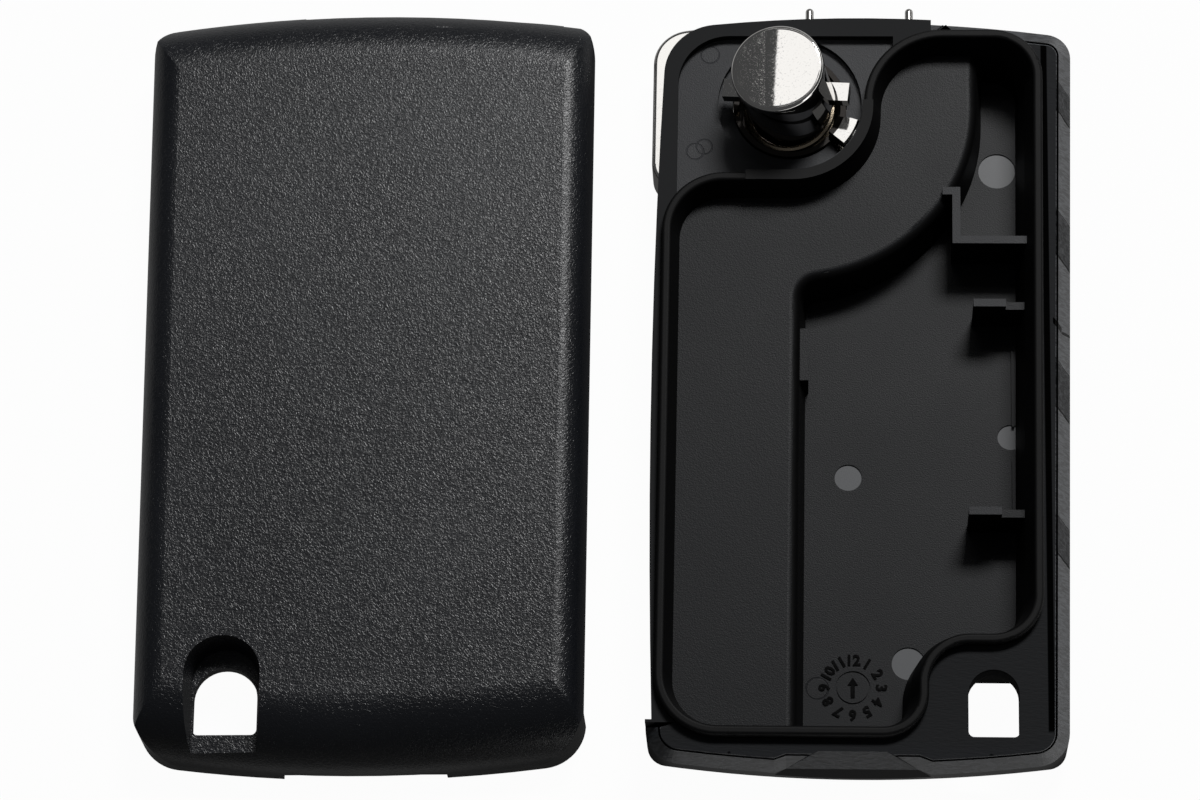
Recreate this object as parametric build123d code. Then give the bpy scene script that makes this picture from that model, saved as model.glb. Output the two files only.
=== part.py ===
from build123d import *
import math
import os

# Remote key case, taken apart: the chassis with its flip head lies open side up on the right,
# and its back cover lies outer face up on the left. Millimetres, +Z up, the table is Z = 0,
# +Y points to the end that carries the flip head.

# Chassis, in plan
CASE_LENGTH = 69.3
HALF_WIDTH_TOP = 18.75
HALF_WIDTH_BOTTOM = 17.8
END_BOW_R = 125.0
CASE_CORNER = 2.3
CASE_FOOT_CORNER = 3.0

# Chassis, levels above the table
FLANGE_Z = 7.0
RIB_Z = 8.0
BAND_RISE = 0.15
CHAMBER_Z = 6.2
RING_Z = 5.6
PLATEAU_Z = 5.4
CEILING_Z = 4.6
FLOOR_THICK = 1.0

# Chassis edges
CHASSIS_END_ROLL = 4.6
CHASSIS_SIDE_ROLL = 1.5
BEVEL_WIDTH = 1.1
BEVEL_DEPTH = 1.7
BEVEL_SHIFT = 0.4

# Sealing rib round the circuit board bay
RIB_THICK = 0.8
RIB_CREST_R = 0.3
RIB_LEFT = -16.75
RIB_LOW_INSET = 3.15
RIB_RIGHT_LOW = 15.3
RIB_RIGHT_HIGH = 15.75
RIB_HIGH_INSET = 2.15
RIB_CHAMBER_X = 0.85
RIB_BELOW_PIVOT = 7.6
RIB_RING_X = 5.6
RIB_RING_INSET = 11.35
RIB_CORNER = 5.0
RIB_RING_OUTER = 3.5
RIB_RING_INNER = 3.9
RIB_RIGHT_CORNER = 4.0
RIB_CHAMBER_OUTER = 6.5
RIB_CHAMBER_INNER = 6.7
RIB_SLOPE = 0.7

# Flat band on the rib beside the push button
BAND_THICK = 1.05
BAND_END_X = -9.9
BAND_STRAIGHT = 0.5

# Pivot of the flip head
PIVOT_X = -6.1
PIVOT_INSET = 8.25
HUB_HOLE_R = 5.05
RING_R = 6.35
NOTCH_START = -12.0
NOTCH_END = -45.0

# Chamber round the push button
CHAMBER_LEFT = -15.95
CHAMBER_RIGHT = 3.0
CHAMBER_INSET = 2.05
CHAMBER_CORNER = 4.5

# Left side and end that stand back so that the head shows beside them
LEFT_BOW_X = -17.85
LEFT_BOW_Y = -2.0
LEFT_BOW_R = 750.0
LEFT_CORNER = 4.8
HEAD_END_STEP = 0.3
FOOT_INSET = 4.3

# Raised floor over the blade channel
STEP_X = -5.2
STEP_WALL = 1.1
STEP_INNER_R = 1.8
STEP_DRAFT = 8.0
STEP_EDGE_R = 0.9

# Room for the flip head and the blade, open below and to the left
CAVITY_R = 15.3
CHANNEL_WALL_X = -6.6
CHANNEL_INSET = 4.05

# Board bay fittings
FITTING_THICK = 0.7
FITTING_Z = 6.0
FITTING_LOW_Z = 5.2
LATCH_THICK = 0.9
LATCH_Y = (1.1, 5.9)
CORNER_WALL_X = 8.55
CORNER_WALL_Y = 13.65
CORNER_WALL_TOP_Y = 18.25
CORNER_HOOK = 1.2
CLIP_Y = (7.75, -11.3)
CLIP_X = (10.0, 9.5)
CLIP_HOOK = 2.8
RAIL_X = 13.4
RAIL_WIDTH = 0.25
RAIL_Z = 0.25
RAIL_SPANS = ((-2.0, 5.0), (-10.3, -5.0))

# Marks left by the mould
PIN_MARK_DEPTH = 0.12
PIN_MARKS = ((12.3, 22.2, 1.65), (13.3, -2.9, 1.15), (-0.8, -6.7, 1.2), (4.4, -23.5, 1.45))
DATE_WHEEL_X = -0.35
DATE_WHEEL_Y = -25.7
DATE_WHEEL_R = 1.5
DATE_WHEEL_LINE = 0.15

# Key ring hole, shared by chassis and cover
RING_HOLE_X = 11.45
RING_HOLE_INSET = 3.0
RING_HOLE_HEIGHT = 5.9
RING_HOLE_WIDTH = 4.3
RING_PLATE_THICK = 2.2
RING_POCKET_X = 6.9
RING_POCKET_INSET = 9.75
RING_POCKET_WALL = 1.4
RING_HOLE_FOOT_R = 0.5

# Pry notch, shared by chassis and cover
PRY_X = -0.4
PRY_WIDTH = 14.0
PRY_INNER_WIDTH = 5.7
PRY_REACH = 1.65
PRY_DEPTH = 2.6
PRY_COVER_HEIGHT = 1.4
PRY_BACKING = 0.7

# Back cover
COVER_FIT = 0.1
COVER_WALL = 0.95
COVER_FOOT_WALL = 1.25
COVER_END_WALL = 0.5
COVER_CORNER = 4.4
COVER_FOOT_CORNER = 3.9
COVER_HEIGHT = 7.0
COVER_END_ROLL = 5.7
COVER_SIDE_ROLL = 2.6
RECESS_MARGIN = 1.1
RECESS_LENGTH = 10.0
RECESS_RIM = 0.95
RECESS_FOOT_R = 0.5
RECESS_FLOOR_Z = 3.9
RECESS_TAPER = 8.0
RECESS_FLOOR_THICK = 1.0
HOLE_EASE = 0.6
BEARING_R = 6.2
BEARING_INNER_R = 4.6
BEARING_HEIGHT = 0.2
OPENING_Z = 4.3

# Flip head
HEAD_HALF_WIDTH = 12.15
HEAD_FRONT = 9.1
HEAD_BOW_R = 105.0
HEAD_BACK = 7.2
HEAD_Z_LOW = 0.15
HEAD_GAP = 0.15
HEAD_END_GAP = 0.3
HEAD_CORNER = 3.3
HEAD_FRONT_CORNER = 0.9
HEAD_BACK_CORNER = 2.2
HEAD_EDGE = 0.35
HUB_GAP = 0.1
HUB_BORE_R = 4.5
HUB_Z = 5.95
HEAD_FLOOR = 1.1
TAB_R = 6.25
TAB_START = -17.0
TAB_END = -40.0
TAB_Z_LOW = 5.75
TAB_Z_HIGH = 6.95
SEAT_X = 6.15
SLOT_WIDTH = 6.6
SLOT_HEIGHT = 2.4
SLOT_DEPTH = 3.6
CROSS_HOLE_R = 0.75
KEYWAY_WIDTH = 2.1
KEYWAY_DEPTH = 0.7

# Seat pegs, pressed into the seat either side of the blade slot
PEG_R = 0.36
PEG_SPACING = 8.9
PEG_OUT = 1.9
PEG_IN = 2.5

# Push button, standing on its spring with a slight lean
LEAN = 9.0
EAR_TURN = -6.0
BUTTON_R = 4.08
SKIRT_R = 3.95
SKIRT_WALL = 0.75
SKIRT_Z = 7.1
BUTTON_HEIGHT = 7.0
RIM_HEIGHT = 0.9
BUTTON_EDGE = 0.35
BUTTON_ROOF = 1.6
EAR_REACH = 5.6
EAR_WIDTH = 1.7
EAR_THICK = 1.1
EAR_BELOW_TOP = 5.3

# Button spring
SPRING_R = 3.75
WIRE_R = 0.3
WIRE_SIDES = 8
HALF_COILS = 5

# Where the two halves lie
CHASSIS_PLACE = (21.68, -1.41)
CHASSIS_TURN = -0.85
COVER_PLACE = (-21.09, 0.44)

# Least clearance, and how far a cut runs past the face that it opens
EASE = 0.02
BEYOND = 1.0

# Worked out from the sizes above
CASE_CORNERS = (CASE_CORNER, CASE_FOOT_CORNER)
CHASSIS_ROLLS = (CHASSIS_END_ROLL, CHASSIS_SIDE_ROLL)
HALF_LENGTH = CASE_LENGTH / 2
COVER_END_GROW = COVER_FIT + COVER_END_WALL
COVER_LOW = -HALF_LENGTH - COVER_END_GROW
PIVOT_Y = HALF_LENGTH - PIVOT_INSET
RIB_BOTTOM = RIB_LOW_INSET - HALF_LENGTH
RIB_TOP = HALF_LENGTH - RIB_HIGH_INSET
RIB_CHAMBER_Y = PIVOT_Y - RIB_BELOW_PIVOT
RIB_RING_Y = RIB_RING_INSET - HALF_LENGTH
CHAMBER_TOP = HALF_LENGTH - CHAMBER_INSET
CHANNEL_END_Y = CHANNEL_INSET - HALF_LENGTH
RING_POCKET_Y = RING_POCKET_INSET - HALF_LENGTH
STEP_R = CAVITY_R + STEP_WALL
HEAD_Z_HIGH = CEILING_Z - HEAD_GAP
HEAD_MID_Z = (HEAD_Z_LOW + HEAD_Z_HIGH) / 2
HUB_R = HUB_HOLE_R - HUB_GAP
PIVOT = Pos(PIVOT_X, PIVOT_Y)
LEAN_DROP = SKIRT_R * math.sin(math.radians(LEAN))
HEAD_END_X = PIVOT_X + HEAD_HALF_WIDTH + HEAD_END_GAP
FLOOR_LOW = FLOOR_THICK / 2


def block(x_low, x_high, y_low, y_high, z_low, z_high):
    """A box between two corners."""
    size = Box(x_high - x_low, y_high - y_low, z_high - z_low)
    return Pos((x_low + x_high) / 2, (y_low + y_high) / 2, (z_low + z_high) / 2) * size


def disc(radius, z_low, z_high):
    """A round slug about the Z axis."""
    return Pos(0, 0, (z_low + z_high) / 2) * Cylinder(radius, z_high - z_low)


def sector(inner, outer, start, end, z_low, z_high):
    """A piece of a ring between two angles in degrees, start above end."""
    reach = 2 * outer
    middle = (start + end) / 2
    spread = reach * math.tan(math.radians((start - end) / 2))
    wedge = make_face(Polyline((0, 0), (reach, -spread), (reach, spread), close=True))
    wedge = Pos(0, 0, z_low) * extrude(wedge, z_high - z_low)
    return (disc(outer, z_low, z_high) - disc(inner, z_low, z_high)) & (Rot(0, 0, middle) * wedge)


def rounded(points, radii):
    """A face with one radius for each corner."""
    return make_face(FilletPolyline(*points, radius=radii, close=True))


def end_slug(end_y, bow_radius, height, roll):
    """A wide disc whose rim is the bowed, rolled end of a half shell."""
    sign = 1 if end_y > 0 else -1
    inset = roll * (1 - math.sqrt(0.5))
    profile = Polyline((0, 0), (bow_radius, 0), (bow_radius, height - roll))
    profile += ThreePointArc(
        (bow_radius, height - roll),
        (bow_radius - inset, height - inset),
        (bow_radius - roll, height),
    )
    profile += Polyline((bow_radius - roll, height), (0, height), (0, 0))
    slug = revolve(Plane.XZ * make_face(profile), Axis.Z)
    return Pos(0, end_y - sign * bow_radius, 0) * slug


def case_outline(plan_sizes, corners):
    """Plan of a half case: tapering sides, bowed ends, rounded corners."""
    top, bottom, length, bow_radius = plan_sizes
    points = ((-bottom, -length), (bottom, -length), (top, length), (-top, length))
    plan = make_face(Polyline(*points, close=True))
    for sign in (1, -1):
        plan = plan & Pos(0, sign * (length - bow_radius)) * Circle(bow_radius)
    plan = fillet(plan.vertices().group_by(Axis.Y)[-1], corners[0])
    return fillet(plan.vertices().group_by(Axis.Y)[0], corners[1])


def half_shell(grow, corners, height, rolls):
    """The outer form of a half case, rim down at Z = 0, grown at the top, the foot and the ends."""
    top = HALF_WIDTH_TOP + grow[0]
    bottom = HALF_WIDTH_BOTTOM + grow[1]
    length = HALF_LENGTH + grow[2]
    bow_radius = END_BOW_R + grow[2]
    shell = extrude(case_outline((top, bottom, length, bow_radius), corners), height)
    for end in (length, -length):
        shell = shell & end_slug(end, bow_radius, height, rolls[0])
    for side in (1, -1):
        shell = shell & side_slug(side, top, bottom, length, height, rolls[1])
    return shell


def side_slug(side, top, bottom, length, height, roll):
    """A long bar whose outer edge is the rolled side of a half shell."""
    width = top + bottom + 4 * roll
    section = Rectangle(width, height)
    section = fillet(section.vertices().group_by(Axis.Y)[-1].sort_by(Axis.X)[-1:], roll)
    bar = extrude(Plane.XZ * section, 2 * length, both=True)
    turn = math.degrees(math.atan2(top - bottom, 2 * length))
    middle = (top + bottom) / 2
    bar = Pos(middle, 0, 0) * Rot(0, 0, -turn) * Pos(-width / 2, 0, height / 2) * bar
    return bar if side > 0 else mirror(bar, about=Plane.YZ)


def rib_outline():
    """Centre line of the sealing rib, as a face."""
    points = (
        (RIB_LEFT, RIB_CHAMBER_Y),
        (RIB_LEFT, RIB_BOTTOM),
        (RIB_RING_X, RIB_BOTTOM),
        (RIB_RING_X, RIB_RING_Y),
        (RIB_RIGHT_LOW, RIB_RING_Y),
        (RIB_RIGHT_HIGH, RIB_TOP),
        (RIB_CHAMBER_X, RIB_TOP),
        (RIB_CHAMBER_X, RIB_CHAMBER_Y),
    )
    radii = [
        RIB_CORNER,
        RIB_CORNER,
        RIB_RING_OUTER,
        RIB_RING_INNER,
        RIB_RIGHT_CORNER,
        RIB_RIGHT_CORNER,
        RIB_CHAMBER_OUTER,
        RIB_CHAMBER_INNER,
    ]
    return rounded(points, radii)


def step_outline():
    """Plan of the raised floor: the blade channel and the room that the head turns in."""
    far = 2 * CASE_LENGTH
    channel = Pos(STEP_X - far / 2, 0) * Rectangle(far, far)
    room = PIVOT * Circle(STEP_R)
    tower = Pos(PIVOT_X - far / 2 + STEP_R, PIVOT_Y + far / 2) * Rectangle(far, far)
    plan = (channel + room + tower).face()
    inner = plan.vertices().sort_by_distance((STEP_X, PIVOT_Y - STEP_R))[0]
    return fillet(inner, STEP_INNER_R)


def bevel_cut(blank):
    """What the outer bevel takes off the right side and the two ends of the flange."""
    rim = Pos(0, 0, -BEVEL_DEPTH) * blank.faces().sort_by(Axis.Z)[-1]
    slope = math.degrees(math.atan2(BEVEL_WIDTH, BEVEL_DEPTH))
    band = extrude(rim, BEVEL_DEPTH) - Pos(0, -BEVEL_SHIFT, 0) * extrude(rim, BEVEL_DEPTH, taper=slope)
    left_strip = block(-CASE_LENGTH, RIB_LEFT + RIB_CORNER, CHANNEL_END_Y, CASE_LENGTH, 0, RIB_Z)
    head_side = block(-CASE_LENGTH, HEAD_END_X, 0, CASE_LENGTH, 0, RIB_Z)
    return band - left_strip - head_side


def left_cut():
    """What the left side stands back by above its foot, and the end beside the head."""
    far = CASE_LENGTH
    kept = Pos(LEFT_BOW_X + LEFT_BOW_R, LEFT_BOW_Y) * Circle(LEFT_BOW_R)
    kept = kept & Pos(0, HALF_LENGTH - HEAD_END_STEP - END_BOW_R) * Circle(END_BOW_R)
    corner = kept.vertices().sort_by_distance((LEFT_BOW_X, HALF_LENGTH))[0]
    kept = fillet(corner, LEFT_CORNER)
    beyond = Pos(HEAD_END_X - far / 2, FOOT_INSET - HALF_LENGTH + far / 2) * Rectangle(far, far)
    return extrude(beyond - kept, RIB_Z)


def chamber_cut(rib):
    """The sunk floor round the push button, outside the sealing rib."""
    left, right, high = CHAMBER_LEFT, CHAMBER_RIGHT, CHAMBER_TOP
    low = RIB_CHAMBER_Y - RIB_CORNER
    points = ((left, low), (right, low), (right, high), (left, high))
    plan = rounded(points, [EASE, EASE, EASE, CHAMBER_CORNER]) - offset(rib, RIB_THICK / 2)
    return Pos(0, 0, CHAMBER_Z) * extrude(plan, RIB_Z)


def rib_wall(rib):
    """The sealing rib, still filled inside."""
    return Pos(0, 0, CEILING_Z) * extrude(offset(rib, RIB_THICK / 2), RIB_Z - CEILING_Z)


def rib_band(rib):
    """The flat, wider and slightly higher band on the rib beside the push button."""
    mask_low = RIB_CHAMBER_Y - RIB_THICK
    mask_high = RIB_CHAMBER_Y + RIB_CHAMBER_INNER + BAND_STRAIGHT
    mask_middle = Pos((BAND_END_X + CHAMBER_RIGHT) / 2, (mask_low + mask_high) / 2)
    mask = mask_middle * Rectangle(CHAMBER_RIGHT - BAND_END_X, mask_high - mask_low)
    band = (offset(rib, BAND_THICK / 2) - offset(rib, -RIB_THICK / 2)) & mask
    return Pos(0, 0, CHAMBER_Z) * extrude(band, RIB_Z - CHAMBER_Z + BAND_RISE)


def bay_cut(rib):
    """The circuit board bay: down to the raised floor, and down again to the deep floor."""
    depth = RIB_Z - PLATEAU_Z
    slope = math.degrees(math.atan2(RIB_SLOPE, depth))
    upper = Pos(0, 0, RIB_Z) * extrude(offset(rib, -RIB_THICK / 2), -depth, taper=slope)
    above = Pos(0, 0, RIB_Z) * extrude(offset(rib, -RIB_THICK / 2), RIB_Z)
    pocket = offset(rib, -RIB_THICK / 2 - RIB_SLOPE) - step_outline()
    lower = Pos(0, 0, PLATEAU_Z) * extrude(pocket, FLOOR_THICK - PLATEAU_Z, taper=STEP_DRAFT)
    return upper + above + lower


def step_edges(chassis):
    """The upper edge of the step between the raised floor and the deep one."""
    edges = chassis.edges().filter_by_position(Axis.Z, PLATEAU_Z - EASE, PLATEAU_Z + EASE)
    line = Pos(0, 0, PLATEAU_Z) * step_outline().wires()[0]
    return [edge for edge in edges if line.distance_to(edge @ 0.5) < EASE]


def head_room():
    """The room for the flip head and the blade channel, open underneath."""
    room = PIVOT * disc(CAVITY_R, -BEYOND, CEILING_Z)
    channel = block(-CASE_LENGTH, CHANNEL_WALL_X, CHANNEL_END_Y, PIVOT_Y, -BEYOND, CEILING_Z)
    return room + channel


def arch(half_width, low, high, foot_radius):
    """An upright arched outline, centred on X = 0."""
    points = ((-half_width, low), (half_width, low), (half_width, high), (-half_width, high))
    return rounded(points, [foot_radius, foot_radius, half_width - EASE, half_width - EASE])


def ring_hole(ease, end_y, z_low, z_high):
    """The arched key ring hole near the low end of a half case, as a solid to cut with."""
    low = end_y + RING_HOLE_INSET
    plan = arch(RING_HOLE_WIDTH / 2 + ease, low, low + RING_HOLE_HEIGHT, RING_HOLE_FOOT_R)
    return Pos(0, 0, z_low) * extrude(plan, z_high - z_low)


def ring_corner_cut():
    """Relief under the key ring corner, which leaves a plate, and the hole through that plate."""
    plate_z = FLANGE_Z - RING_PLATE_THICK
    right = HALF_WIDTH_BOTTOM - RING_POCKET_WALL
    low = RING_POCKET_WALL - HALF_LENGTH
    relief = block(RING_POCKET_X, right, low, RING_POCKET_Y, -BEYOND, plate_z)
    hole = Pos(RING_HOLE_X, 0, 0) * ring_hole(0, -HALF_LENGTH, -BEYOND, RIB_Z)
    return relief + hole


def pry_notch():
    """The sloping notch where a coin parts the two halves."""
    outer = PRY_WIDTH / 2
    inner = PRY_INNER_WIDTH / 2
    back = PRY_REACH - HALF_LENGTH
    front = -HALF_LENGTH - PRY_REACH
    spread = outer + (outer - inner)
    plan = make_face(Polyline((-spread, front), (spread, front), (inner, back), (-inner, back), close=True))
    cut = Pos(PRY_X, 0, FLANGE_Z - PRY_DEPTH) * extrude(plan, RIB_Z)
    lean = math.degrees(math.atan2(PRY_DEPTH, PRY_REACH))
    above = block(-spread * 2, spread * 2, -CASE_LENGTH, 0, 0, CASE_LENGTH)
    ramp = Pos(PRY_X, back, FLANGE_Z) * Rot(lean, 0, 0) * above
    return cut & ramp


def corner_wall():
    """The thin L-shaped wall in the corner of the bay, hooked on to the step."""
    half = FITTING_THICK / 2
    x, y, top = CORNER_WALL_X, CORNER_WALL_Y, CORNER_WALL_TOP_Y
    upright = block(x - half, x + half, y - half, top + half, FLOOR_LOW, FITTING_Z)
    level = block(x - half, RIB_RIGHT_LOW, y - half, y + half, FLOOR_LOW, FITTING_Z)
    hook = block(x - CORNER_HOOK, x + half, top - half, top + half, FLOOR_LOW, FITTING_Z)
    return upright + level + hook


def board_clip(x, y):
    """A clip on the right wall that holds the edge of the board."""
    half = FITTING_THICK / 2
    hook = block(x, x + CLIP_HOOK, y - half, y + half, FLOOR_LOW, FITTING_Z)
    stem = block(x + CLIP_HOOK, RIB_RIGHT_LOW, y - half, y + half, FLOOR_LOW, FITTING_LOW_Z)
    return hook + stem


def bay_fittings():
    """Walls, clips, latch and rails that stand on the deep floor."""
    fittings = corner_wall()
    for x, y in zip(CLIP_X, CLIP_Y):
        fittings += board_clip(x, y)
    fittings += block(STEP_X, STEP_X + LATCH_THICK, *LATCH_Y, FLOOR_LOW, FITTING_LOW_Z - LATCH_THICK)
    for low, high in RAIL_SPANS:
        fittings += block(RAIL_X, RAIL_X + RAIL_WIDTH, low, high, FLOOR_LOW, FLOOR_THICK + RAIL_Z)
    return fittings


def mould_marks():
    """Shallow round marks of the ejector pins, and the ring of the date wheel."""
    marks = Pos(DATE_WHEEL_X, DATE_WHEEL_Y) * (
        disc(DATE_WHEEL_R, FLOOR_THICK - PIN_MARK_DEPTH, FLOOR_THICK + EASE)
        - disc(DATE_WHEEL_R - DATE_WHEEL_LINE, 0, FLANGE_Z)
    )
    for x, y, radius in PIN_MARKS:
        marks += Pos(x, y) * disc(radius, FLOOR_THICK - PIN_MARK_DEPTH, FLOOR_THICK + EASE)
    return marks


def hub_seat():
    """Sunk ring, hub hole and the notch that the stop tab enters by."""
    ring = disc(RING_R, RING_Z, RIB_Z)
    hole = disc(HUB_HOLE_R, 0, RIB_Z)
    notch = sector(HUB_HOLE_R - EASE, RING_R, NOTCH_START, NOTCH_END, 0, RIB_Z)
    return PIVOT * (ring + hole + notch)


def crest_edges(chassis):
    """The two long edges along the top of the sealing rib."""
    return chassis.edges().filter_by_position(Axis.Z, RIB_Z - EASE, RIB_Z + EASE)


def build_chassis():
    """Moulded chassis that holds the circuit board, the flip head and the key ring."""
    shell = half_shell((0, 0, 0), CASE_CORNERS, FLANGE_Z, CHASSIS_ROLLS)
    blank = Pos(0, 0, FLANGE_Z) * mirror(shell, about=Plane.XY)
    rib = rib_outline()
    chassis = blank - bevel_cut(blank) - left_cut() - chamber_cut(rib)
    chassis = chassis + rib_wall(rib) - bay_cut(rib)
    chassis = fillet(crest_edges(chassis), RIB_CREST_R) + rib_band(rib)
    chassis = fillet(step_edges(chassis), STEP_EDGE_R)
    chassis = chassis + bay_fittings() - mould_marks()
    chassis = chassis - head_room() - hub_seat() - ring_corner_cut() - pry_notch()
    return chassis


def build_cover():
    """Back cover, outer face up, open underneath. Its plan mirrors the chassis."""
    grow = (COVER_FIT + COVER_WALL, COVER_FIT + COVER_FOOT_WALL, COVER_END_GROW)
    corners = (COVER_CORNER, COVER_FOOT_CORNER)
    outside = half_shell(grow, corners, COVER_HEIGHT, (COVER_END_ROLL, COVER_SIDE_ROLL))
    inner_z = COVER_HEIGHT - COVER_WALL
    inside = half_shell([COVER_FIT] * 3, CASE_CORNERS, inner_z, CHASSIS_ROLLS)
    cover = outside - inside
    cover += (ring_well() + pry_backing()) & outside
    cover -= ring_recess()
    cover -= Pos(-RING_HOLE_X, 0, 0) * ring_hole(HOLE_EASE, COVER_LOW, -BEYOND, COVER_HEIGHT)
    bearing = disc(BEARING_R, inner_z - BEARING_HEIGHT, inner_z + EASE)
    bearing -= disc(BEARING_INNER_R, 0, COVER_HEIGHT)
    cover += Pos(-PIVOT_X, PIVOT_Y) * bearing
    return cover - cover_openings()


def ring_well():
    """The wall and floor that carry the recess inside the cover."""
    half = RING_HOLE_WIDTH / 2 + RECESS_MARGIN + COVER_WALL
    high = COVER_LOW + RECESS_RIM + RECESS_LENGTH + COVER_WALL
    plan = arch(half, COVER_LOW - BEYOND, high, RECESS_FOOT_R)
    return Pos(-RING_HOLE_X, 0, RECESS_FLOOR_Z - RECESS_FLOOR_THICK) * extrude(plan, COVER_HEIGHT)


def ring_recess():
    """The recess that makes room for the key ring, closed by a low rim at the end."""
    depth = COVER_HEIGHT - RECESS_FLOOR_Z
    low = COVER_LOW + RECESS_RIM
    plan = arch(RING_HOLE_WIDTH / 2 + RECESS_MARGIN, low, low + RECESS_LENGTH, RECESS_FOOT_R)
    return Pos(-RING_HOLE_X, 0, COVER_HEIGHT) * extrude(plan, -depth, taper=RECESS_TAPER)


def pry_backing():
    """The low wall behind the pry notch, which keeps the notch closed inside."""
    half = PRY_WIDTH / 2 + COVER_WALL
    back = COVER_LOW + COVER_END_WALL + PRY_BACKING
    return block(-PRY_X - half, -PRY_X + half, COVER_LOW, back, 0, PRY_COVER_HEIGHT + COVER_WALL)


def cover_openings():
    """The pry notch, and the side and end that stay open for the head and the blade."""
    far = CASE_LENGTH
    half = PRY_WIDTH / 2
    pry = block(-PRY_X - half, -PRY_X + half, -far, COVER_LOW + COVER_END_WALL, -BEYOND, PRY_COVER_HEIGHT)
    side = block(HALF_WIDTH_BOTTOM - COVER_WALL, far, CHANNEL_END_Y, far, -BEYOND, OPENING_Z)
    end = block(-HEAD_END_X - EASE, far, HALF_LENGTH - COVER_WALL, far, -BEYOND, OPENING_Z)
    return pry + side + end


def head_plan():
    """Outline of the flip head about its pivot, its front bowed like the end of the case."""
    wide = HEAD_HALF_WIDTH
    plan = Pos(0, (HEAD_FRONT - HEAD_BACK) / 2) * Rectangle(2 * wide, HEAD_FRONT + HEAD_BACK)
    plan = plan & Pos(-PIVOT_X, HEAD_FRONT - HEAD_BOW_R) * Circle(HEAD_BOW_R)
    corners = (
        (-wide, -HEAD_BACK, HEAD_BACK_CORNER),
        (wide, -HEAD_BACK, HEAD_BACK_CORNER),
        (wide, HEAD_FRONT, HEAD_FRONT_CORNER),
        (-wide, HEAD_FRONT, HEAD_CORNER),
    )
    for x, y, radius in corners:
        plan = fillet(plan.vertices().sort_by_distance((x, y))[0], radius)
    return plan


def blade_seat():
    """The slot and the cross hole that hold a blade."""
    slot = block(
        SEAT_X - SLOT_WIDTH / 2, SEAT_X + SLOT_WIDTH / 2,
        HEAD_FRONT - SLOT_DEPTH, HEAD_FRONT + BEYOND,
        HEAD_MID_Z - SLOT_HEIGHT / 2, HEAD_MID_Z + SLOT_HEIGHT / 2,
    )
    cross = Pos(SEAT_X, HEAD_FRONT - SLOT_DEPTH / 2) * disc(CROSS_HOLE_R, -BEYOND, RIB_Z)
    return slot + cross


def peg_places():
    """X of the two seat pegs, from the pivot."""
    return (SEAT_X - PEG_SPACING / 2, SEAT_X + PEG_SPACING / 2)


def peg(radius, low, high):
    """A round rod along +Y at the middle height of the head."""
    return Pos(0, (low + high) / 2, HEAD_MID_Z) * Rot(90, 0, 0) * Cylinder(radius, high - low)


def build_head():
    """Die-cast flip head: body, hub, stop tab and blade seat."""
    body = Pos(0, 0, HEAD_Z_LOW) * extrude(head_plan(), HEAD_Z_HIGH - HEAD_Z_LOW)
    rims = body.edges().filter_by_position(Axis.Z, HEAD_Z_LOW, HEAD_Z_LOW)
    rims += body.edges().filter_by_position(Axis.Z, HEAD_Z_HIGH, HEAD_Z_HIGH)
    body = fillet(rims, HEAD_EDGE)
    body += disc(HUB_R, HEAD_Z_LOW, HUB_Z)
    body += sector(HUB_BORE_R - EASE, TAB_R, TAB_START, TAB_END, TAB_Z_LOW, TAB_Z_HIGH)
    body -= disc(HUB_BORE_R, HEAD_Z_LOW + HEAD_FLOOR, RIB_Z)
    keyway = block(-EAR_REACH, EAR_REACH, -KEYWAY_WIDTH / 2, KEYWAY_WIDTH / 2, HUB_Z - KEYWAY_DEPTH, RIB_Z)
    body -= Rot(0, 0, EAR_TURN) * keyway
    body -= blade_seat()
    for x in peg_places():
        body -= Pos(x, 0) * peg(PEG_R + EASE, HEAD_FRONT - PEG_IN - EASE, HEAD_FRONT + BEYOND)
    return body


def build_peg():
    """Seat peg with a domed tip."""
    rod = peg(PEG_R, HEAD_FRONT - PEG_IN, HEAD_FRONT + PEG_OUT)
    return fillet(rod.edges().sort_by(Axis.Y)[-1], PEG_R - EASE)


def build_button():
    """Push button: a polished cap on a skirt, with two ears that ride in the hub's keyways."""
    top = BUTTON_HEIGHT
    cap = disc(BUTTON_R, top - RIM_HEIGHT, top)
    cap = fillet(cap.edges().group_by(Axis.Z)[-1], BUTTON_EDGE)
    button = cap + disc(SKIRT_R, 0, top - RIM_HEIGHT)
    ears = Pos(0, 0, top - EAR_BELOW_TOP) * Box(2 * EAR_REACH, EAR_WIDTH, EAR_THICK)
    button += Rot(0, 0, EAR_TURN) * ears
    button -= disc(SKIRT_R - SKIRT_WALL, -BEYOND, top - BUTTON_ROOF)
    return Pos(0, 0, SKIRT_Z) * Rot(0, -LEAN, 0) * button


def build_spring():
    """Coil spring that stands in the hub and carries the button, each half coil a tilted half ring."""
    low = HEAD_Z_LOW + HEAD_FLOOR + WIRE_R + EASE
    high = SKIRT_Z - LEAN_DROP - WIRE_R - EASE
    rise = (high - low) / HALF_COILS
    tilt = math.degrees(math.atan2(rise, 2 * SPRING_R))
    ring_radius = math.hypot(rise, 2 * SPRING_R) / 2
    section = Pos(ring_radius, 0, 0) * Rot(90, 0, 0) * RegularPolygon(WIRE_R, WIRE_SIDES)
    half_ring = Rot(0, tilt, 0) * revolve(section, Axis.Z, revolution_arc=180)
    spring = None
    for step in range(HALF_COILS):
        coil = Pos(0, 0, low + rise * (step + 0.5)) * Rot(0, 0, 180 * step) * half_ring
        spring = coil if spring is None else spring + coil
    return spring


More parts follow.
